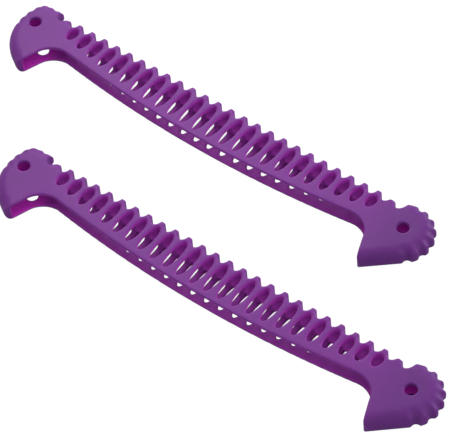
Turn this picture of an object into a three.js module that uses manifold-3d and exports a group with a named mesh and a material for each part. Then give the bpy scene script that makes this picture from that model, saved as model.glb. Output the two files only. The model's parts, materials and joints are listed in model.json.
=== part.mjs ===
// A pair of stretch-fit blade guards for ice skates, lying on their sides on the floor.
//
// Each guard is one elastic moulding: a channel for the blade, closed along the tread side, with a
// hooked pocket at each end and a drain hole through the lower wall of the toe's pocket. It is
// divided here into two caps and six ribbed lengths, so that the stretch between the caps can be a
// motion. Millimetres, +Z up. A guard is drawn in its own plane, U along its length and V across it
// with the tread teeth at V = 0, and is extruded through its width. The origin is at the middle of
// the pair's footprint, on the floor.

import * as THREE from 'three';
import { mergeVertices } from 'three/addons/utils/BufferGeometryUtils.js';
import Module from 'manifold-3d';

const wasm = await Module();
wasm.setup();

// Tread rhythm. Almost every other size is a multiple of one tooth pitch.
const PITCH = 8;
const TEETH = 26;
const WINDOWS = 24;
const TOOTH_TIP = 0.32 * PITCH;
const NOTCH_DEPTH = 0.48 * PITCH;

// Section through the strip.
const WIDTH = 10;
const WALL = 2.2;
const CHANNEL_FLOOR = -1.1 * PITCH;
const WEB = 1.6;
const EDGE = 0.5;

// Rim of the two walls, an arch that is deepest in the middle.
const RIM_MID = 3.0 * PITCH;
const RIM_RISE = 0.9 * PITCH;
const RIM_STEPS = 14;
const STRIP_HALF = 12 * PITCH;

// Windows in the two walls.
const WINDOW_HALF = 0.33 * PITCH;
const WINDOW_TOP = -0.42 * PITCH;
const WINDOW_FOOT_MID = -2.64 * PITCH;
const WINDOW_FOOT_RISE = 1.26 * PITCH;

// Hooked cap at each end: round end, straight back, and a mouth that faces the other cap. Every
// place is for a cap at +U. The crown is true where the round end runs on over the top.
const HEEL = {
  end: [14.14 * PITCH, -1.48 * PITCH],
  radius: 2.01 * PITCH,
  tip: [13.3 * PITCH, -4.9 * PITCH],
  neckU: 11.45 * PITCH,
  crown: true,
  grooveAngles: [89, 67, 46, 25.5, 5, -18, -46],
  topGrooves: [],
  eye: [14.2 * PITCH, -1.47 * PITCH],
};
const TOE = {
  end: [12.12 * PITCH, -1.43 * PITCH],
  radius: 3.18 * PITCH,
  tip: [12.9 * PITCH, -4.68 * PITCH],
  neckU: 11.2 * PITCH,
  crown: false,
  grooveAngles: [27, 15.5, 4, -8],
  topGrooves: [13.85 * PITCH, 14.4 * PITCH],
  eye: [14.1 * PITCH, -1.43 * PITCH],
};
const CAP_TOP = 0.34 * PITCH;
const CAP_TOP_U = 13.25 * PITCH;
const NECK_RADIUS = 1.12 * PITCH;
const CORNER = 0.25 * PITCH;
const CAP_WALL = 2.8;
const POCKET_ROOF = -0.2 * PITCH;
const EYE_RADIUS = 3.0;
const DRAIN = [-12.85 * PITCH, -2.3 * PITCH];
const DRAIN_RADIUS = 0.36 * PITCH;
const GROOVE_RADIUS = 0.24 * PITCH;

// Dividing lines between the lengths of one moulding, and the clearance at each.
const RIBBED_LENGTHS = 6;
const CLEARANCE = 0.3;

// Where the two guards lie.
const PAIR_OFFSET = new THREE.Vector2(56.4, -73);
const PAIR_TURN = THREE.MathUtils.degToRad(0.6);

const PURPLE = new THREE.Color(0.22, 0.05, 0.29);

// Depth of the rim below the tooth tips at a distance u from the middle.
function rimAt(u) {
  return -(RIM_MID - RIM_RISE * (u / STRIP_HALF) ** 2);
}

// Mirrors a list of outline points to the other end, keeping the walking direction.
function mirrored(points) {
  return points.map((p) => new THREE.Vector2(-p.x, p.y)).reverse();
}

// Points of an arc, both ends included.
function arc(u, v, radius, from, to, steps) {
  const points = [];
  for (let i = 0; i <= steps; i += 1) {
    const angle = from + ((to - from) * i) / steps;
    points.push(new THREE.Vector2(u + radius * Math.cos(angle), v + radius * Math.sin(angle)));
  }
  return points;
}

// Angle at which a circle is touched by the line from an outside point.
function touch(u, v, radius, point) {
  const away = point.clone().sub(new THREE.Vector2(u, v));
  return Math.atan2(away.y, away.x) + Math.acos(radius / away.length());
}

// Unit vector at an angle, in the plane of the outline.
function unit(angle) {
  return new THREE.Vector2(Math.cos(angle), Math.sin(angle));
}

// One end of a guard, walked from the rim, round the mouth, the back and the round end to the tread.
function capOutline(cap) {
  const tip = new THREE.Vector2(...cap.tip);
  const neckV = rimAt(cap.neckU) - NECK_RADIUS;
  const mouthAngle = touch(cap.neckU, neckV, NECK_RADIUS, tip);
  const neck = arc(cap.neckU, neckV, NECK_RADIUS, Math.PI / 2, mouthAngle, 5);
  const backAngle = touch(...cap.end, cap.radius, tip);
  const mouth = unit(mouthAngle - Math.PI / 2);
  const back = unit(backAngle + Math.PI / 2);
  const corner = [
    tip.clone().addScaledVector(mouth, -CORNER),
    tip.clone().addScaledVector(mouth, -0.3 * CORNER).addScaledVector(back, 0.3 * CORNER),
    tip.clone().addScaledVector(back, CORNER),
  ];
  const rise = Math.asin((CAP_TOP - cap.end[1]) / cap.radius);
  const end = arc(...cap.end, cap.radius, backAngle, cap.crown ? Math.PI - rise : rise, 20);
  const tread = [new THREE.Vector2(CAP_TOP_U, CAP_TOP), new THREE.Vector2(12.9 * PITCH, 0)];
  return [...neck, ...corner, ...end, ...tread];
}

// Whole outline of a guard, before the tread is cut.
function guardOutline() {
  const rim = [];
  for (let i = 1; i < RIM_STEPS; i += 1) {
    const u = THREE.MathUtils.lerp(-TOE.neckU, HEEL.neckU, i / RIM_STEPS);
    rim.push(new THREE.Vector2(u, rimAt(u)));
  }
  return new THREE.Shape([...rim, ...capOutline(HEEL), ...mirrored(capOutline(TOE))]);
}

// The hollow of one cap, walked from beyond the mouth, along the back and the round end to the roof.
function pocketOutline(cap) {
  const depth = CAP_WALL + GROOVE_RADIUS / 2;
  const inner = cap.radius - depth;
  const backAngle = touch(...cap.end, cap.radius, new THREE.Vector2(...cap.tip));
  const rise = Math.asin((POCKET_ROOF - cap.end[1]) / inner);
  const end = arc(...cap.end, inner, backAngle, rise, 8);
  const beyond = end[0].clone().addScaledVector(unit(backAngle - Math.PI / 2), 5 * PITCH);
  return [beyond, ...end, new THREE.Vector2(12.2 * PITCH, CHANNEL_FLOOR)];
}

// Hollow for the blade: the channel between the walls and the pocket in each cap.
function hollowOutline() {
  return new THREE.Shape([...pocketOutline(HEEL), ...mirrored(pocketOutline(TOE))]);
}

// Prism of an outline between two heights, as a solid for cutting.
function prism(shape, low, high, segments = 5) {
  const geometry = new THREE.ExtrudeGeometry(shape, {
    depth: high - low,
    bevelEnabled: false,
    curveSegments: segments,
  });
  geometry.translate(0, 0, low);
  return solid(geometry);
}

// Closed solid of a triangle mesh.
function solid(geometry) {
  const plain = new THREE.BufferGeometry();
  plain.setAttribute('position', geometry.getAttribute('position').clone());
  if (geometry.index) plain.setIndex(geometry.index.clone());
  const merged = mergeVertices(plain, 1e-4);
  return new wasm.Manifold(
    new wasm.Mesh({
      numProp: 3,
      vertProperties: new Float32Array(merged.getAttribute('position').array),
      triVerts: new Uint32Array(merged.index.array),
    }),
  );
}

// Triangle mesh of a closed solid.
function geometryOf(body) {
  const mesh = body.getMesh();
  const geometry = new THREE.BufferGeometry();
  geometry.setAttribute('position', new THREE.BufferAttribute(new Float32Array(mesh.vertProperties), 3));
  geometry.setIndex(new THREE.BufferAttribute(new Uint32Array(mesh.triVerts), 1));
  geometry.computeVertexNormals();
  return geometry;
}

// Ellipse-shaped prism.
function oval(u, v, halfU, halfV, low, high, segments) {
  const shape = new THREE.Shape();
  shape.absellipse(u, v, halfU, halfV, 0, 2 * Math.PI);
  return prism(shape, low, high, segments);
}

// The notches between the tread teeth and the grooves round the caps, all through the width.
function treadCutters() {
  const cutters = [];
  const half = (PITCH - TOOTH_TIP) / 2;
  for (let i = 0; i <= TEETH; i += 1) {
    const u = (i - TEETH / 2) * PITCH;
    cutters.push(oval(u, 0.02 * PITCH, half, NOTCH_DEPTH, -1, WIDTH + 1, 6));
  }
  for (const [cap, side] of [[HEEL, 1], [TOE, -1]]) {
    const places = cap.topGrooves.map((u) => new THREE.Vector2(u, CAP_TOP + 0.3));
    for (const angle of cap.grooveAngles.map(THREE.MathUtils.degToRad)) {
      places.push(unit(angle).multiplyScalar(cap.radius + 0.3).add(new THREE.Vector2(...cap.end)));
    }
    for (const at of places) {
      cutters.push(oval(side * at.x, at.y, GROOVE_RADIUS, GROOVE_RADIUS, -1, WIDTH + 1, 5));
    }
  }
  return cutters;
}

// The windows, sunk from both faces so that only the thin web is left between them in the tread.
function windowCutters() {
  const cutters = [];
  for (let i = 0; i < WINDOWS; i += 1) {
    const u = (i + 0.5 - WINDOWS / 2) * PITCH;
    const foot = WINDOW_FOOT_MID + WINDOW_FOOT_RISE * (u / (11.5 * PITCH)) ** 2;
    const half = (WINDOW_TOP - foot) / 2;
    const v = (WINDOW_TOP + foot) / 2;
    cutters.push(oval(u, v, WINDOW_HALF, half, -1, (WIDTH - WEB) / 2, 6));
    cutters.push(oval(u, v, WINDOW_HALF, half, (WIDTH + WEB) / 2, WIDTH + 1, 6));
  }
  return cutters;
}

// One guard as a single solid, lying on its side with its lower face at height 0.
function guardBody() {
  const geometry = new THREE.ExtrudeGeometry(guardOutline(), {
    depth: WIDTH - 2 * EDGE,
    bevelEnabled: true,
    bevelThickness: EDGE,
    bevelSize: EDGE,
    bevelOffset: -EDGE,
    bevelSegments: 1,
  });
  geometry.translate(0, 0, EDGE);
  let body = solid(geometry);
  const cutters = [
    prism(hollowOutline(), WALL, WIDTH - WALL),
    oval(HEEL.eye[0], HEEL.eye[1], EYE_RADIUS, EYE_RADIUS, -1, WIDTH + 1, 8),
    oval(-TOE.eye[0], TOE.eye[1], EYE_RADIUS, EYE_RADIUS, -1, WIDTH + 1, 8),
    oval(DRAIN[0], DRAIN[1], DRAIN_RADIUS, DRAIN_RADIUS, -1, WALL + EDGE, 8),
    ...treadCutters(),
    ...windowCutters(),
  ];
  for (const cutter of cutters) body = body.subtract(cutter);
  return body;
}

// The part of a body between two stations along its length.
function lengthOf(body, from, to) {
  const box = new THREE.BoxGeometry(to - from, 20 * PITCH, 4 * WIDTH);
  box.translate((from + to) / 2, 0, 0);
  return body.intersect(solid(box));
}

// Names and stations of the lengths of one guard, from the toe end at -U to the heel end at +U.
function stations() {
  const step = (2 * STRIP_HALF) / RIBBED_LENGTHS;
  const list = [['toe_cap', -20 * PITCH, -STRIP_HALF - CLEARANCE / 2]];
  for (let i = 0; i < RIBBED_LENGTHS; i += 1) {
    const from = -STRIP_HALF + i * step + CLEARANCE / 2;
    list.push([`ribs_${i + 1}`, from, from + step - CLEARANCE]);
  }
  list.push(['heel_cap', STRIP_HALF + CLEARANCE / 2, 20 * PITCH]);
  return list;
}

// One guard as a group of named meshes.
function guard(name, body) {
  const group = new THREE.Group();
  group.name = name;
  for (const [label, from, to] of stations()) {
    const material = new THREE.MeshStandardMaterial({ color: PURPLE, roughness: 0.42, metalness: 0 });
    material.name = 'purple_elastomer';
    const mesh = new THREE.Mesh(geometryOf(lengthOf(body, from, to)), material);
    mesh.name = `${name}_${label}`;
    group.add(mesh);
  }
  return group;
}

const body = guardBody();
const pair = new THREE.Group();
pair.name = 'skate_blade_guards';
const back = guard('guard_a', body);
const front = guard('guard_b', body);
front.position.set(PAIR_OFFSET.x, PAIR_OFFSET.y, 0);
front.rotation.z = PAIR_TURN;
pair.add(back, front);

// The middle of the footprint goes to the origin.
pair.updateMatrixWorld(true);
const middle = new THREE.Box3().setFromObject(pair, true).getCenter(new THREE.Vector3());
for (const piece of [back, front]) {
  piece.position.x -= middle.x;
  piece.position.y -= middle.y;
}

export default pair;
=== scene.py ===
"""A pair of elastic blade guards for ice skates, lying on their sides in a pale studio.

Each guard is one seamless moulding. It stands for the eight lengths that the frame divides it into,
and it stretches between its two capped ends. Its whole shape follows a rule: a distance field drawn
in the guard's own plane, in which the notches, windows and grooves repeat, is meshed by one
Geometry Nodes tree. Sizes inside the tree are in millimetres, and the finished mesh is in metres.
"""

import json  # noqa: E402
import logging  # noqa: E402
import math  # noqa: E402
from dataclasses import dataclass, field  # noqa: E402
from enum import Enum  # noqa: E402
from typing import Optional, Union  # noqa: E402

import bpy  # noqa: E402
from mathutils import Matrix, Vector  # noqa: E402

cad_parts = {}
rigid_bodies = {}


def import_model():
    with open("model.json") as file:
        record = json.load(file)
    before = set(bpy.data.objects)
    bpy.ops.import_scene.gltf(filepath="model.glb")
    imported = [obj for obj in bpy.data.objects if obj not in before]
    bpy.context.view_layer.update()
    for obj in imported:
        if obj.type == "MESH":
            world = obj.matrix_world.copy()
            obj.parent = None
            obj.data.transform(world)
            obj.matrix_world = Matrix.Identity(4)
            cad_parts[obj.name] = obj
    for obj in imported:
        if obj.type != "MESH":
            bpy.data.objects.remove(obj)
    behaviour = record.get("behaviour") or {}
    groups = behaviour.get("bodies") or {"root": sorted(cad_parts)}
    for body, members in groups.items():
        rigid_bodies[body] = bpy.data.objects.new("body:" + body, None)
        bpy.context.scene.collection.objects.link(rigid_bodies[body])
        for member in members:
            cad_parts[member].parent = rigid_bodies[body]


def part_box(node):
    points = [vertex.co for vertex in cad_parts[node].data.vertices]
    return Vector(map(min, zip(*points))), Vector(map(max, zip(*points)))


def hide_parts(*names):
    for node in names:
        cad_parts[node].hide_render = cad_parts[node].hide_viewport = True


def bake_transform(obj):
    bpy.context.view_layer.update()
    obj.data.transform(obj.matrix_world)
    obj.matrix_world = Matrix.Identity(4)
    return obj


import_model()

LOG = logging.getLogger("blade_guards")
Number = Union[int, float]
Point = tuple[float, float]

# One millimetre in metres, and one tooth pitch in millimetres.
MM = 0.001
PITCH = 8.0

# Density at which the surface is drawn, a number that keeps a quotient finite, and the distance
# over which the toe's half of a guard gives way to the heel's.
SOLID = 10.0
TINY = 1e-4
SWITCH = 1e-3

# The near guard's place from the far one, in millimetres, and how far it is turned.
PAIR_OFFSET = (56.4, -73.0)
PAIR_TURN = math.radians(0.6)

# Half the gap between two lengths of a guard in the frame, in millimetres.
END_GAP = 0.15


class End(Enum):
    """The two ends of a guard, with the side of its middle that each lies on."""

    HEEL = 1
    TOE = -1


class Lie(Enum):
    """The two guards of the pair, by the prefix of their names in the frame."""

    FAR = "guard_a"
    NEAR = "guard_b"


class Field:
    """A number that varies from point to point, held as a socket of a node tree.

    Arithmetic on fields adds Math nodes to the tree, so that a shape can be written as a formula.
    """

    def __init__(self, tree: bpy.types.NodeTree, socket: bpy.types.NodeSocket) -> None:
        """Wraps one output socket.

        Args:
            tree: The tree that the socket belongs to.
            socket: An output socket that gives a float.
        """
        self.tree = tree
        self.socket = socket

    def _math(self, operation: str, *values: "Field | Number") -> "Field":
        """Adds one Math node.

        Args:
            operation: Blender's name of the operation.
            values: The operands, in order.

        Returns:
            The node's result.
        """
        node = self.tree.nodes.new("ShaderNodeMath")
        node.operation = operation
        for slot, value in zip(node.inputs, values):
            if isinstance(value, Field):
                self.tree.links.new(value.socket, slot)
            else:
                slot.default_value = float(value)
        return Field(self.tree, node.outputs[0])

    def __add__(self, other: "Field | Number") -> "Field":
        """Sum.

        Args:
            other: What is added.

        Returns:
            This value plus the other.
        """
        return self._math("ADD", self, other)

    __radd__ = __add__

    def __sub__(self, other: "Field | Number") -> "Field":
        """Difference.

        Args:
            other: What is taken away.

        Returns:
            This value less the other.
        """
        return self._math("SUBTRACT", self, other)

    def __rsub__(self, other: Number) -> "Field":
        """Difference from a plain number.

        Args:
            other: The number that this value is taken from.

        Returns:
            The number less this value.
        """
        return self._math("SUBTRACT", other, self)

    def __mul__(self, other: "Field | Number") -> "Field":
        """Product.

        Args:
            other: What this value is multiplied by.

        Returns:
            The product.
        """
        return self._math("MULTIPLY", self, other)

    __rmul__ = __mul__

    def __truediv__(self, other: "Field | Number") -> "Field":
        """Quotient.

        Args:
            other: What this value is divided by.

        Returns:
            The quotient.
        """
        return self._math("DIVIDE", self, other)

    def __neg__(self) -> "Field":
        """Opposite, which turns a shape into the space outside it.

        Returns:
            This value with its sign changed.
        """
        return self * -1.0

    def __abs__(self) -> "Field":
        """Size without its sign.

        Returns:
            The size.
        """
        return self._math("ABSOLUTE", self)

    def least(self, other: "Field | Number") -> "Field":
        """The smaller of two values, which joins two shapes.

        Args:
            other: The second value.

        Returns:
            The smaller one.
        """
        return self._math("MINIMUM", self, other)

    def greatest(self, other: "Field | Number") -> "Field":
        """The larger of two values, which keeps what two shapes share.

        Args:
            other: The second value.

        Returns:
            The larger one.
        """
        return self._math("MAXIMUM", self, other)

    def kept_between(self, low: "Field | Number", high: "Field | Number") -> "Field":
        """The value, held between two limits.

        Args:
            low: The lower limit.
            high: The upper limit.

        Returns:
            The held value.
        """
        return self.greatest(low).least(high)

    def nearest_whole(self) -> "Field":
        """The nearest whole number.

        Returns:
            The rounded value.
        """
        return self._math("ROUND", self)

    def length_with(self, other: "Field") -> "Field":
        """Length of the vector made of this value and another.

        Args:
            other: The second part of the vector.

        Returns:
            The length.
        """
        return self._math("SQRT", self * self + other * other)

    def eased(self, start: Number, end: Number) -> "Field":
        """A smooth step from 0 at start to 1 at end.

        Args:
            start: The value at which the step begins.
            end: The value at which it is complete.

        Returns:
            The height of the step.
        """
        share = ((self - start) / (end - start)).kept_between(0.0, 1.0)
        return share * share * (3.0 - share * 2.0)

    def joined_round(self, other: "Field", radius: Number) -> "Field":
        """Joins two shapes with a fillet between them.

        Args:
            other: The second shape.
            radius: Radius of the fillet.

        Returns:
            The joined shape.
        """
        here = (radius - self).greatest(0.0)
        there = (radius - other).greatest(0.0)
        return self.least(other).greatest(radius) - here.length_with(there)

    def shared_round(self, other: "Field", radius: "Field | Number") -> "Field":
        """Keeps what two shapes share, with a rounded edge where their surfaces meet.

        Args:
            other: The second shape.
            radius: Radius of the rounding.

        Returns:
            The shared shape.
        """
        here = (self + radius).greatest(0.0)
        there = (other + radius).greatest(0.0)
        return self.greatest(other).least(radius * -1.0) + here.length_with(there)


@dataclass(frozen=True)
class CapSizes:
    """Places and sizes of one hooked cap, in millimetres, drawn for the end at +U."""

    end: Point
    radius: float
    tip: Point
    neck_u: float
    crown: bool
    groove_angles: tuple[float, ...]
    eye: Point
    edge: float
    spread: float = 1.0
    groove_lift: float = 0.3
    top_grooves: tuple[float, ...] = ()

    def back_angle(self) -> float:
        """Angle of the outward normal of the straight back, which touches the round end.

        Returns:
            The angle in radians, from +U towards +V.
        """
        du, dv = self.tip[0] - self.end[0], self.tip[1] - self.end[1]
        return math.atan2(dv, du) + math.acos(self.radius / math.hypot(du, dv))

    def mouth_angle(self, neck_v: float, neck_radius: float) -> float:
        """Angle of the normal of the mouth, which runs from the fillet of the neck to the tip.

        Args:
            neck_v: Height of the middle of the neck's fillet.
            neck_radius: Radius of that fillet.

        Returns:
            The angle in radians, pointing into the cap.
        """
        du, dv = self.tip[0] - self.neck_u, self.tip[1] - neck_v
        return math.atan2(dv, du) + math.acos(neck_radius / math.hypot(du, dv))


@dataclass(frozen=True)
class GuardSizes:
    """Sizes of one guard in millimetres, with the tips of its tread teeth at V = 0."""

    pitch: float = PITCH
    notch_cells: int = 13
    window_cells: int = 12
    notch_half: float = 0.34 * PITCH
    notch_depth: float = 0.48 * PITCH
    notch_lift: float = 0.02 * PITCH
    notch_edge: float = 0.45
    width: float = 10.0
    wall: float = 2.2
    web: float = 1.6
    edge: float = 0.6
    lip: float = 0.7
    tip_radius: float = 3.0
    window_lean: float = 0.06
    window_edge: float = 0.6
    hollow_edge: float = 0.4
    eye_edge: float = 0.6
    drain_edge: float = 0.4
    roof_edge: float = 2.0
    channel_edge: float = 0.8
    toe_corner: float = 0.5 * PITCH
    flare: float = 1.0
    drain: Point = (-12.85 * PITCH, -2.3 * PITCH)
    drain_radius: float = 0.36 * PITCH
    drain_reach: float = 1.0
    # Painted shade: how much of the heel cap's painted darkening the toe cap gets, and where along
    # the guard it comes in, for less light passing through the thick walls of the caps.
    toe_shade: float = 0.45
    shade_run: Point = (-1.5 * PITCH, 2.5 * PITCH)
    # Painted glow: how it fades in at the surfaces of the channel, pockets and windows, and how
    # strong it is in the channel and the windows; it stands in for light passing through the thin
    # walls.
    glow_fade: Point = (0.05, 0.4)
    channel_glow: float = 0.25
    window_glow: float = 0.34
    rim_mid: float = 3.0 * PITCH
    rim_rise: float = 0.9 * PITCH
    strip_half: float = 12.0 * PITCH
    channel_floor: float = -1.1 * PITCH
    window_half: float = 0.33 * PITCH
    window_taper: float = 0.06
    window_top: float = -0.42 * PITCH
    window_foot: float = -2.64 * PITCH
    window_rise: float = 1.26 * PITCH
    window_span: float = 11.5 * PITCH
    shoulder: float = 12.9 * PITCH
    cap_top: float = 0.34 * PITCH
    cap_top_u: float = 13.25 * PITCH
    neck_radius: float = 1.12 * PITCH
    cap_wall: float = 3.76
    pocket_roof: float = -0.2 * PITCH
    pocket_start: float = 12.2 * PITCH
    eye_radius: float = 3.0
    groove_radius: float = 0.22 * PITCH
    groove_edge: float = 1.0
    block_low: tuple[float, float, float] = (-16.0 * PITCH, -5.6 * PITCH, -1.0)
    block_high: tuple[float, float, float] = (16.8 * PITCH, 1.2 * PITCH, 11.0)
    grain: float = 0.5
    thinning: float = 0.02
    heel: CapSizes = field(
        default_factory=lambda: CapSizes(
            end=(14.14 * PITCH, -1.48 * PITCH),
            radius=2.01 * PITCH,
            tip=(13.3 * PITCH, -4.9 * PITCH),
            neck_u=11.45 * PITCH,
            crown=True,
            groove_angles=(89, 67, 46, 25.5, 5, -18, -46),
            eye=(14.2 * PITCH, -1.47 * PITCH),
            edge=4.2,
            spread=1.5,
        )
    )
    toe: CapSizes = field(
        default_factory=lambda: CapSizes(
            end=(12.12 * PITCH, -1.43 * PITCH),
            radius=3.18 * PITCH,
            tip=(12.9 * PITCH, -4.68 * PITCH),
            neck_u=11.2 * PITCH,
            crown=False,
            groove_angles=(27, 15.5, 4, -8),
            eye=(14.1 * PITCH, -1.43 * PITCH),
            edge=4.4,
            spread=1.3,
            groove_lift=1.2,
            top_grooves=(13.85 * PITCH, 14.4 * PITCH),
        )
    )

    def cap(self, end: End) -> CapSizes:
        """The sizes of the cap at one end.

        Args:
            end: Which end.

        Returns:
            That cap's sizes.
        """
        return self.heel if end is End.HEEL else self.toe

    def rim_at(self, u: float) -> float:
        """Height of the rim of the walls at a distance u from the middle.

        Args:
            u: Distance from the middle, along the guard.

        Returns:
            The height, which is below 0.
        """
        return -(self.rim_mid - self.rim_rise * (u / self.strip_half) ** 2)

    def groove_marks(self) -> list[Vector]:
        """Middles of the small grooves round both caps, on the guard's own plane.

        Returns:
            One point for each groove.
        """
        marks = []
        for end in End:
            cap = self.cap(end)
            places = [(u, self.cap_top + cap.groove_lift) for u in cap.top_grooves]
            for angle in map(math.radians, cap.groove_angles):
                reach = cap.radius + cap.groove_lift
                places.append(
                    (cap.end[0] + reach * math.cos(angle), cap.end[1] + reach * math.sin(angle))
                )
            marks.extend(Vector((end.value * u, v, 0.0)) for u, v in places)
        return marks


class GuardTree:
    """The Geometry Nodes tree that turns the groove marks of a guard into its whole moulding."""

    def __init__(self, sizes: GuardSizes, material: bpy.types.Material) -> None:
        """Makes an empty tree with its named inputs.

        Args:
            sizes: The guard's sizes.
            material: The finish that the tree gives to its mesh.
        """
        self.sizes = sizes
        self.material = material
        self.tree = bpy.data.node_groups.new("blade_guard_moulding", "GeometryNodeTree")
        self.ids: dict[str, str] = {}
        self._socket("Groove marks", "NodeSocketGeometry")
        for name, value in self._named_sizes().items():
            self._socket(name, "NodeSocketFloat", value)
        self._socket("Place", "NodeSocketVector")
        self._socket("Turn", "NodeSocketVector")
        self.tree.interface.new_socket("Moulding", in_out="OUTPUT", socket_type="NodeSocketGeometry")
        self.entry = self.tree.nodes.new("NodeGroupInput")

    def _named_sizes(self) -> dict[str, float]:
        """The sizes that the tree takes as inputs.

        Returns:
            Each size in millimetres, by the name of its input.
        """
        s = self.sizes
        return {
            "Tooth pitch": s.pitch,
            "Notch half width": s.notch_half,
            "Notch depth": s.notch_depth,
            "Width": s.width,
            "Wall": s.wall,
            "Web": s.web,
            "Edge radius": s.edge,
            "Rim depth": s.rim_mid,
            "Rim rise": s.rim_rise,
            "Channel floor": s.channel_floor,
            "Window half width": s.window_half,
            "Window top": s.window_top,
            "Window foot": s.window_foot,
            "Window foot rise": s.window_rise,
            "Cap wall": s.cap_wall,
            "Eye radius": s.eye_radius,
            "Groove radius": s.groove_radius,
        }

    def _socket(self, name: str, kind: str, value: Optional[float] = None) -> None:
        """Adds one named input.

        Args:
            name: The input's name.
            kind: Blender's socket type.
            value: Its value to begin with, for a number.
        """
        made = self.tree.interface.new_socket(name, in_out="INPUT", socket_type=kind)
        if value is not None:
            made.default_value = value
        self.ids[name] = made.identifier

    def _node(self, kind: str, links: Optional[dict[str, object]] = None) -> bpy.types.Node:
        """Adds a node and fills its inputs.

        Args:
            kind: Blender's node type.
            links: For each input's name, a socket or Field to link, or a value to set.

        Returns:
            The node.
        """
        node = self.tree.nodes.new(kind)
        for name, value in (links or {}).items():
            slot = node.inputs[name]
            if isinstance(value, Field):
                self.tree.links.new(value.socket, slot)
            elif isinstance(value, bpy.types.NodeSocket):
                self.tree.links.new(value, slot)
            else:
                slot.default_value = value
        return node

    def size(self, name: str) -> Field:
        """A named input as a field.

        Args:
            name: The input's name.

        Returns:
            Its value.
        """
        return Field(self.tree, self.entry.outputs[name])

    def _cap_outside(self, end: End, u: Field, v: Field, top: Field) -> Field:
        """Distance to the round end and straight back of one cap.

        Args:
            end: Which cap.
            u: Distance from the middle towards this end.
            v: Height in the guard's plane.
            top: Distance to the top line of the tread and cap.

        Returns:
            A value below 0 inside the outline.
        """
        cap = self.sizes.cap(end)
        angle = cap.back_angle()
        du, dv = u - cap.end[0], v - cap.end[1]
        circle = du.length_with(dv) - cap.radius
        back = du * math.cos(angle) + dv * math.sin(angle) - cap.radius
        beyond = du * -math.sin(angle) + dv * math.cos(angle)
        flank = back.greatest(beyond.least(du))
        if cap.crown:
            return circle.least(flank.greatest(top))
        return circle.least(flank).shared_round(top, self.sizes.toe_corner)

    def _mouth(self, end: End, u: Field, v: Field) -> Field:
        """Distance to the mouth of one cap, below 0 on the cap's side of it.

        Args:
            end: Which cap.
            u: Distance from the middle towards this end.
            v: Height in the guard's plane.

        Returns:
            The signed distance.
        """
        s, cap = self.sizes, self.sizes.cap(end)
        neck_v = s.rim_at(cap.neck_u) - s.neck_radius
        angle = cap.mouth_angle(neck_v, s.neck_radius)
        du, dv = u - cap.tip[0], v - cap.tip[1]
        return -(du * math.cos(angle) + dv * math.sin(angle))

    def _repeated_oval(
        self, along: Field, across: Field, half_u: "Field | Number", half_v: "Field | Number"
    ) -> Field:
        """Distance to an oval about the middle of its own cell.

        Args:
            along: Place along the guard, from the middle of the cell.
            across: Place across it, from the middle of the oval.
            half_u: Half the oval's size along the guard.
            half_v: Half its size across.

        Returns:
            A value below 0 inside the oval.
        """
        near = (along / half_u).length_with(across / half_v) + TINY
        slope = (along / half_u / half_u).length_with(across / half_v / half_v)
        return near * (near - 1.0) / (slope + slope._math("DIVIDE", TINY, half_v))

    def _notches(self, u: Field, v: Field) -> Field:
        """Distance to the nearest notch between two tread teeth.

        Args:
            u: Place along the guard.
            v: Place across it.

        Returns:
            A value below 0 inside a notch.
        """
        s, pitch = self.sizes, self.size("Tooth pitch")
        cell = (u / pitch).nearest_whole().kept_between(-s.notch_cells, s.notch_cells)
        return self._repeated_oval(
            u - cell * pitch,
            v - s.notch_lift,
            self.size("Notch half width"),
            self.size("Notch depth"),
        )

    def _windows(self, u: Field, v: Field, h: Field) -> Field:
        """Distance to the nearest window, sunk from both faces down to the web between them.

        Args:
            u: Place along the guard.
            v: Place across it.
            h: Distance from the guard's middle plane.

        Returns:
            A value below 0 inside a window.
        """
        s, pitch = self.sizes, self.size("Tooth pitch")
        cell = (u / pitch - 0.5).nearest_whole().kept_between(-s.window_cells, s.window_cells - 1)
        middle = (cell + 0.5) * pitch
        share = middle / s.window_span
        top = self.size("Window top")
        foot = self.size("Window foot") + self.size("Window foot rise") * share * share
        taper = (self.size("Width") / 2.0 - h) * s.window_taper
        half = (top - foot) / 2.0
        height = (v - (top + foot) / 2.0) / half
        lean = height.kept_between(-1.0, 1.0) * s.window_lean + (1.0 - 0.3 * s.window_lean)
        oval = self._repeated_oval(
            u - middle,
            v - (top + foot) / 2.0,
            (self.size("Window half width") - taper) * lean,
            half - taper,
        )
        return oval.greatest(self.size("Web") / 2.0 - h)

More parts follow.
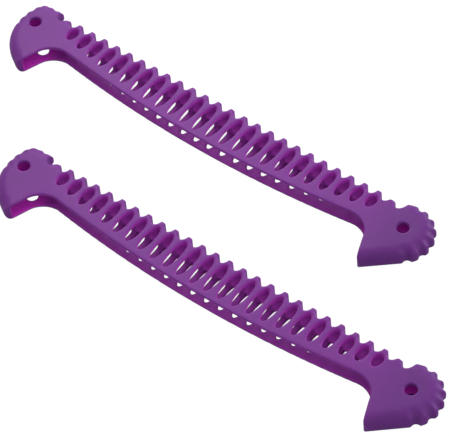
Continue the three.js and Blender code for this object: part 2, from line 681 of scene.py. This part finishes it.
    def _moulding(
        self, u: Field, v: Field, z: Field, groove: Field
    ) -> tuple[Field, Field]:
        """The whole shape, as a distance that is below 0 inside the material.

        Args:
            u: Place along the guard.
            v: Place across it.
            z: Height above the floor.
            groove: Distance to the nearest groove mark, in the guard's plane.

        Returns:
            The distance to the surface, and how much painted glow the surface gets there, from 0 to
            1:
            a brighter colour painted into the channel, pockets and windows for light passing through
            the walls.
        """
        s = self.sizes
        h = abs(z - self.size("Width") / 2.0)
        far = abs(u)
        rise = ((far - s.shoulder) / (s.cap_top_u - s.shoulder)).kept_between(0.0, 1.0)
        top = v - rise * s.cap_top
        share = u / s.strip_half
        rim = self.size("Rim rise") * share * share - self.size("Rim depth") - v
        toe_u = u * -1.0
        heel_part = u.greatest(0.0).least(SWITCH) * (1.0 / SWITCH)
        outside = self._cap_outside(End.HEEL, u, v, top) * heel_part + self._cap_outside(
            End.TOE, toe_u, v, top
        ) * (1.0 - heel_part)
        hollow_side = outside
        outside = outside.shared_round(self.size("Groove radius") - groove, s.groove_edge)
        mouth = self._mouth(End.HEEL, u, v).least(self._mouth(End.TOE, toe_u, v))
        inside_rim = rim.joined_round(mouth, s.neck_radius)
        cap_share = far.eased(s.strip_half - 0.5 * s.pitch, s.shoulder + 0.3 * s.pitch)
        edge = self.size("Edge radius") + cap_share * (
            heel_part * s.heel.edge + (1.0 - heel_part) * s.toe.edge - s.edge
        )
        squeeze = heel_part * (1.0 / s.heel.spread) + (1.0 - heel_part) * (1.0 / s.toe.spread)
        squeeze = cap_share * (squeeze - 1.0) + 1.0
        faces = h - self.size("Width") / 2.0
        shape = (outside * squeeze).shared_round(faces, edge).shared_round(inside_rim, s.lip)
        shape = shape.greatest(outside.shared_round(inside_rim, s.tip_radius))
        shape = shape.shared_round(-self._notches(u, v), s.notch_edge)
        hollow = self._hollow(far, v, hollow_side, h)
        shape = shape.shared_round(-hollow, s.hollow_edge)
        windows = self._windows(u, v, h)
        shape = shape.shared_round(-windows, s.window_edge)
        shape = shape.shared_round(-self._eyes(u, v), s.eye_edge)
        shape = shape.shared_round(-self._drain(u, v, z), s.drain_edge)
        # Painted glow: the channel, the pockets in the caps and the windows get a brighter colour
        # painted in for light passing through the thin walls, strongest in the pockets.
        pocket = far.eased(s.pocket_start - 0.8 * s.pitch, s.pocket_start + 0.4 * s.pitch)
        in_hollow, in_window = (1.0 - place.eased(*s.glow_fade) for place in (hollow, windows))
        glow_share = in_hollow * (pocket * (1.0 - s.channel_glow) + s.channel_glow)
        return shape, glow_share.greatest(in_window * s.window_glow)

    def _hollow(self, far: Field, v: Field, outside: Field, h: Field) -> Field:
        """Distance to the channel and pockets that take the blade.

        Args:
            far: Distance from the middle of the guard.
            v: Place across it.
            outside: Distance to the outline of the caps.
            h: Distance from the guard's middle plane.

        Returns:
            A value below 0 inside the hollow.
        """
        s = self.sizes
        reach = s.heel.end[0] + 0.4 * s.heel.radius
        rise = ((far - s.pocket_start) / (reach - s.pocket_start)).kept_between(0.0, 1.0)
        roof = self.size("Channel floor") + rise * (s.pocket_roof - s.channel_floor)
        flat = (v - roof).shared_round(outside + self.size("Cap wall"), s.roof_edge)
        opening = v.eased(s.channel_floor, s.channel_floor - 2.0 * s.pitch) * s.flare
        half_gap = self.size("Width") / 2.0 - self.size("Wall")
        return flat.shared_round(h - half_gap - opening, s.channel_edge)

    def _eyes(self, u: Field, v: Field) -> Field:
        """Distance to the nearer of the two round eyes.

        Args:
            u: Place along the guard.
            v: Place across it.

        Returns:
            A value below 0 inside an eye.
        """
        heel, toe = self.sizes.heel.eye, self.sizes.toe.eye
        at_heel = (u - heel[0]).length_with(v - heel[1])
        at_toe = (u + toe[0]).length_with(v - toe[1])
        return at_heel.least(at_toe) - self.size("Eye radius")

    def _drain(self, u: Field, v: Field, z: Field) -> Field:
        """Distance to the drain hole through the lower wall of the toe's pocket.

        Args:
            u: Place along the guard.
            v: Place across it.
            z: Height above the floor.

        Returns:
            A value below 0 inside the hole.
        """
        s = self.sizes
        hole = (u - s.drain[0]).length_with(v - s.drain[1]) - s.drain_radius
        return hole.greatest(z - (s.wall + s.drain_reach))

    def _thick_wall_shade(self, u: Field) -> Field:
        """How much painted shade darkens the colour, from 0 in the strip to 1 in the heel cap.

        The thick caps are painted darker for less light passing through their walls; the toe cap
        gets part of it.

        Args:
            u: Place along the guard.

        Returns:
            The share of painted shade on that scale.
        """
        start, end = (self.sizes.strip_half + step for step in self.sizes.shade_run)
        return u.eased(start, end) + (u * -1.0).eased(start, end) * self.sizes.toe_shade

    def build(self) -> bpy.types.NodeTree:
        """Builds the whole tree.

        Returns:
            The tree, ready for a modifier.
        """
        s = self.sizes
        low, high = Vector(s.block_low), Vector(s.block_high)
        steps = [math.ceil((b - a) / s.grain) for a, b in zip(low, high)]
        place = self._node("GeometryNodeInputPosition").outputs["Position"]
        split = self._node("ShaderNodeSeparateXYZ", {"Vector": place})
        u, v, z = (Field(self.tree, split.outputs[axis]) for axis in "XYZ")
        flat = self._node("ShaderNodeCombineXYZ", {"X": u, "Y": v})
        near = self._node(
            "GeometryNodeProximity",
            {"Geometry": self.entry.outputs["Groove marks"],
             "Sample Position": flat.outputs["Vector"]},
        )
        near.target_element = "POINTS"
        shape, painted_glow = self._moulding(u, v, z, Field(self.tree, near.outputs["Distance"]))
        block = self._node(
            "GeometryNodeVolumeCube",
            {"Density": SOLID - shape, "Background": 0.0, "Min": low, "Max": high,
             "Resolution X": steps[0], "Resolution Y": steps[1], "Resolution Z": steps[2]},
        )
        mesh = self._node(
            "GeometryNodeVolumeToMesh",
            {"Volume": block.outputs["Volume"], "Threshold": SOLID, "Adaptivity": s.thinning},
        )
        # The painted glow is stored on the mesh for the material to read.
        marked = self._node(
            "GeometryNodeStoreNamedAttribute",
            {"Geometry": mesh.outputs["Mesh"], "Name": "painted_glow", "Value": painted_glow},
        )
        marked.data_type, marked.domain = "FLOAT", "POINT"
        # The painted shade of the thick caps is stored on the mesh for the material to read.
        shade_stored = self._node(
            "GeometryNodeStoreNamedAttribute",
            {"Geometry": marked.outputs["Geometry"], "Name": "painted_shade",
             "Value": self._thick_wall_shade(u)},
        )
        shade_stored.data_type, shade_stored.domain = "FLOAT", "POINT"
        moved = self._node(
            "GeometryNodeTransform",
            {"Geometry": shade_stored.outputs["Geometry"],
             "Translation": self.entry.outputs["Place"],
             "Rotation": self.entry.outputs["Turn"],
             "Scale": (MM, MM, MM)},
        )
        smooth = self._node("GeometryNodeSetShadeSmooth", {"Geometry": moved.outputs["Geometry"]})
        real = self._node("GeometryNodeRealizeInstances", {"Geometry": smooth.outputs["Geometry"]})
        dressed = self._node(
            "GeometryNodeSetMaterial",
            {"Geometry": real.outputs["Geometry"], "Material": self.material},
        )
        exit_node = self.tree.nodes.new("NodeGroupOutput")
        self.tree.links.new(dressed.outputs["Geometry"], exit_node.inputs["Moulding"])
        return self.tree


@dataclass(frozen=True)
class Elastomer:
    """The soft, slightly translucent satin plastic that the guards are moulded in."""

    name: str = "purple_elastomer"
    skin: tuple[float, float, float] = (0.22, 0.034, 0.31)
    # The skin colour under painted shade, mixed in on the thick caps for less light passing through
    # their walls.
    shaded_skin: tuple[float, float, float] = (0.16, 0.028, 0.25)
    # Painted glow colour: a bright magenta mixed in where the painted glow is full, for light
    # passing through the walls of the channel, pockets and windows.
    depth: tuple[float, float, float] = (0.8, 0.055, 0.76)
    roughness: float = 0.46
    glow: float = 0.45
    glow_depth: float = 0.004
    glow_colour: tuple[float, float, float] = (1.0, 0.35, 0.9)
    shine: float = 0.27
    sheen: float = 0.09
    cloud: float = 60.0
    grain_height: float = 0.0002
    grain_strength: float = 0.12
    grain: float = 900.0

    def material(self) -> bpy.types.Material:
        """Builds the finish.

        Returns:
            The material, with its grain and cloudiness made by noise.
        """
        made = bpy.data.materials.new(self.name)
        made.use_nodes = True
        tree = made.node_tree
        shader = tree.nodes["Principled BSDF"]
        shader.inputs["Subsurface Weight"].default_value = self.glow
        shader.inputs["Subsurface Radius"].default_value = self.glow_colour
        shader.inputs["Subsurface Scale"].default_value = self.glow_depth
        shader.inputs["IOR"].default_value = 1.45
        shader.inputs["Specular IOR Level"].default_value = self.shine
        shader.inputs["Sheen Weight"].default_value = self.sheen
        shader.inputs["Sheen Roughness"].default_value = 0.4
        coords = tree.nodes.new("ShaderNodeTexCoord")
        cloud = tree.nodes.new("ShaderNodeTexNoise")
        cloud.inputs["Scale"].default_value = self.cloud
        cloud.inputs["Detail"].default_value = 3.0
        grain = tree.nodes.new("ShaderNodeTexNoise")
        grain.inputs["Scale"].default_value = self.grain
        grain.inputs["Detail"].default_value = 2.0
        for noise in (cloud, grain):
            tree.links.new(coords.outputs["Object"], noise.inputs["Vector"])
        # Reads the painted glow that the moulding stored on the mesh.
        inside = tree.nodes.new("ShaderNodeAttribute")
        inside.attribute_name = "painted_glow"
        # Painted shade: the thick caps are mixed towards the darker shaded skin colour.
        shade_attribute = tree.nodes.new("ShaderNodeAttribute")
        shade_attribute.attribute_name = "painted_shade"
        skin_with_shade = tree.nodes.new("ShaderNodeMix")
        skin_with_shade.data_type = "RGBA"
        skin_with_shade.inputs["A"].default_value = (*self.skin, 1.0)
        skin_with_shade.inputs["B"].default_value = (*self.shaded_skin, 1.0)
        tree.links.new(shade_attribute.outputs["Fac"], skin_with_shade.inputs["Factor"])
        # Mixes the bright painted glow colour into the channel, pockets and windows.
        colour = tree.nodes.new("ShaderNodeMix")
        colour.data_type = "RGBA"
        tree.links.new(skin_with_shade.outputs["Result"], colour.inputs["A"])
        colour.inputs["B"].default_value = (*self.depth, 1.0)
        tree.links.new(inside.outputs["Fac"], colour.inputs["Factor"])
        vary = tree.nodes.new("ShaderNodeHueSaturation")
        level = tree.nodes.new("ShaderNodeMapRange")
        level.inputs["To Min"].default_value = 0.92
        level.inputs["To Max"].default_value = 1.08
        tree.links.new(cloud.outputs["Fac"], level.inputs["Value"])
        tree.links.new(level.outputs["Result"], vary.inputs["Value"])
        tree.links.new(colour.outputs["Result"], vary.inputs["Color"])
        tree.links.new(vary.outputs["Color"], shader.inputs["Base Color"])
        rough = tree.nodes.new("ShaderNodeMapRange")
        rough.inputs["To Min"].default_value = self.roughness - 0.05
        rough.inputs["To Max"].default_value = self.roughness + 0.07
        tree.links.new(cloud.outputs["Fac"], rough.inputs["Value"])
        tree.links.new(rough.outputs["Result"], shader.inputs["Roughness"])
        bump = tree.nodes.new("ShaderNodeBump")
        bump.inputs["Strength"].default_value = self.grain_strength
        bump.inputs["Distance"].default_value = self.grain_height
        tree.links.new(grain.outputs["Fac"], bump.inputs["Height"])
        tree.links.new(bump.outputs["Normal"], shader.inputs["Normal"])
        return made


@dataclass
class Guard:
    """One guard of the pair, made as a single elastic moulding."""

    lie: Lie
    place: Point
    turn: float
    sizes: GuardSizes = field(default_factory=GuardSizes)
    strip_lengths: int = 6
    piece: Optional[bpy.types.Object] = None

    def mould(self, maker: GuardTree) -> bpy.types.Object:
        """Makes the moulding.

        Args:
            maker: The tree that shapes it, already built.

        Returns:
            The plain mesh, in its place in the frame.
        """
        name = f"{self.lie.value}_moulding"
        marks = bpy.data.meshes.new(f"{name}_marks")
        marks.from_pydata(self.sizes.groove_marks(), [], [])
        blank = bpy.data.objects.new(f"{name}_blank", marks)
        bpy.context.scene.collection.objects.link(blank)
        modifier = blank.modifiers.new("Moulding", "NODES")
        modifier.node_group = maker.tree
        modifier[maker.ids["Place"]] = (self.place[0] * MM, self.place[1] * MM, 0.0)
        modifier[maker.ids["Turn"]] = (0.0, 0.0, self.turn)
        settled = blank.evaluated_get(bpy.context.evaluated_depsgraph_get())
        mesh = bpy.data.meshes.new_from_object(settled)
        mesh.name = name
        blank.modifiers.clear()
        bpy.data.objects.remove(blank)
        self.piece = bpy.data.objects.new(name, mesh)
        bpy.context.scene.collection.objects.link(self.piece)
        return self.piece

    def fasten(self) -> None:
        """Bakes the moulding's place into its mesh and hides the frame's caps and lengths, which it
        stands for.
        """
        prefix = self.lie.value
        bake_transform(self.piece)
        lengths = [f"{prefix}_ribs_{i + 1}" for i in range(self.strip_lengths)]
        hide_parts(f"{prefix}_toe_cap", *lengths, f"{prefix}_heel_cap")


@dataclass(frozen=True)
class StudioFloor:
    """A plain pale floor under the pair."""

    half: float = 4.0
    colour: tuple[float, float, float] = (0.55, 0.55, 0.56)
    light: float = 1.15
    evenness: float = 0.85

    def build(self) -> bpy.types.Object:
        """Makes the floor.

        Returns:
            The floor, which is no part of the object.
        """
        mesh = bpy.data.meshes.new("studio_floor")
        h = self.half
        mesh.from_pydata([(-h, -h, 0), (h, -h, 0), (h, h, 0), (-h, h, 0)], [], [(0, 1, 2, 3)])
        floor = bpy.data.objects.new("studio_floor", mesh)
        bpy.context.scene.collection.objects.link(floor)
        made = bpy.data.materials.new("pale_floor")
        made.use_nodes = True
        shader = made.node_tree.nodes["Principled BSDF"]
        shader.inputs["Base Color"].default_value = (*self.colour, 1.0)
        shader.inputs["Roughness"].default_value = 0.9
        shader.inputs["Specular IOR Level"].default_value = 0.1
        tree = made.node_tree
        seen = tree.nodes.new("ShaderNodeLightPath")
        glow = tree.nodes.new("ShaderNodeEmission")
        glow.inputs["Strength"].default_value = self.light
        both = tree.nodes.new("ShaderNodeMixShader")
        share = tree.nodes.new("ShaderNodeMath")
        share.operation = "MULTIPLY"
        share.inputs[1].default_value = self.evenness
        tree.links.new(seen.outputs["Is Camera Ray"], share.inputs[0])
        tree.links.new(share.outputs["Value"], both.inputs["Fac"])
        tree.links.new(shader.outputs["BSDF"], both.inputs[1])
        tree.links.new(glow.outputs["Emission"], both.inputs[2])
        tree.links.new(both.outputs["Shader"], tree.nodes["Material Output"].inputs["Surface"])
        floor.data.materials.append(made)
        return floor


@dataclass(frozen=True)
class SoftLight:
    """One large studio light that points at the middle of the pair."""

    name: str
    place: tuple[float, float, float]
    side: float
    power: float

    def build(self) -> bpy.types.Object:
        """Makes the light.

        Returns:
            The light.
        """
        data = bpy.data.lights.new(self.name, "AREA")
        data.shape = "SQUARE"
        data.size = self.side
        data.energy = self.power
        light = bpy.data.objects.new(self.name, data)
        bpy.context.scene.collection.objects.link(light)
        light.location = self.place
        light.rotation_euler = (-Vector(self.place)).to_track_quat("-Z", "Y").to_euler()
        return light


@dataclass(frozen=True)
class Studio:
    """Even white surroundings and soft lights."""

    ambient: float = 0.5
    lights: tuple[SoftLight, ...] = (
        SoftLight("key_light", (-0.46, 0.44, 0.56), 0.5, 2.9),
        SoftLight("fill_light", (0.9, 0.15, 0.75), 0.9, 2.0),
        SoftLight("rim_light", (0.5, 1.5, 0.5), 0.5, 8.0),
    )

    def build(self) -> None:
        """Makes the surroundings and the lights, and sets how the picture shows colour."""
        world = bpy.data.worlds.new("studio")
        world.use_nodes = True
        surroundings = world.node_tree.nodes["Background"]
        surroundings.inputs["Color"].default_value = (1.0, 1.0, 1.0, 1.0)
        surroundings.inputs["Strength"].default_value = self.ambient
        bpy.context.scene.world = world
        for light in self.lights:
            light.build()
        bpy.context.scene.view_settings.view_transform = "Standard"


@dataclass(frozen=True)
class StudioCamera:
    """The camera, placed by the direction it looks in from the far guard."""

    azimuth: float = -43.1
    elevation: float = 51.3
    roll: float = -6.2
    target: Point = (5.29 * PITCH, -6.9 * PITCH)
    distance: float = 160.0 * PITCH
    lens: float = 219.45
    height: float = 10.0

    def build(self, origin: Point) -> bpy.types.Object:
        """Makes the camera.

        Args:
            origin: Middle of the far guard's tread line in the frame, in millimetres.

        Returns:
            The camera, which is also made the scene's own.
        """
        a, e, r = map(math.radians, (self.azimuth, self.elevation, self.roll))
        ahead = Vector((math.sin(a) * math.cos(e), math.cos(a) * math.cos(e), -math.sin(e)))
        right = Vector((math.cos(a), -math.sin(a), 0.0))
        up = right.cross(ahead)
        across = math.cos(r) * right + math.sin(r) * up
        upward = -math.sin(r) * right + math.cos(r) * up
        aim = Vector((origin[0] + self.target[0], origin[1] + self.target[1], self.height))
        data = bpy.data.cameras.new("studio_camera")
        data.lens = self.lens
        data.sensor_width = 36.0
        data.clip_start, data.clip_end = 0.01, 20.0
        camera = bpy.data.objects.new("studio_camera", data)
        turned = Matrix((across, upward, -ahead)).transposed().to_4x4()
        camera.matrix_world = Matrix.Translation((aim - ahead * self.distance) * MM) @ turned
        bpy.context.scene.collection.objects.link(camera)
        bpy.context.scene.camera = camera
        return camera


def far_guard_origin() -> Point:
    """Middle of the far guard's tread line, found from the frame.

    Returns:
        The point in millimetres.
    """
    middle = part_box("guard_a_ribs_3")[1]
    return (middle.x / MM + END_GAP, middle.y / MM)


def main() -> None:
    """Builds the pair, the studio and the camera, and reports each piece."""
    logging.basicConfig(level=logging.INFO, format="%(name)s: %(message)s")
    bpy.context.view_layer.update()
    origin = far_guard_origin()
    near = (origin[0] + PAIR_OFFSET[0], origin[1] + PAIR_OFFSET[1])
    maker = GuardTree(GuardSizes(), Elastomer().material())
    maker.build()
    pair = [Guard(Lie.FAR, origin, 0.0), Guard(Lie.NEAR, near, PAIR_TURN)]
    for guard in pair:
        piece = guard.mould(maker)
        guard.fasten()
        LOG.info("%s: %d faces", piece.name, len(piece.data.polygons))
    floor = StudioFloor().build()
    LOG.info("%s is in place", floor.name)
    Studio().build()
    camera = StudioCamera().build(origin)
    LOG.info("%s is in place", camera.name)


if __name__ == "__main__":
    main()
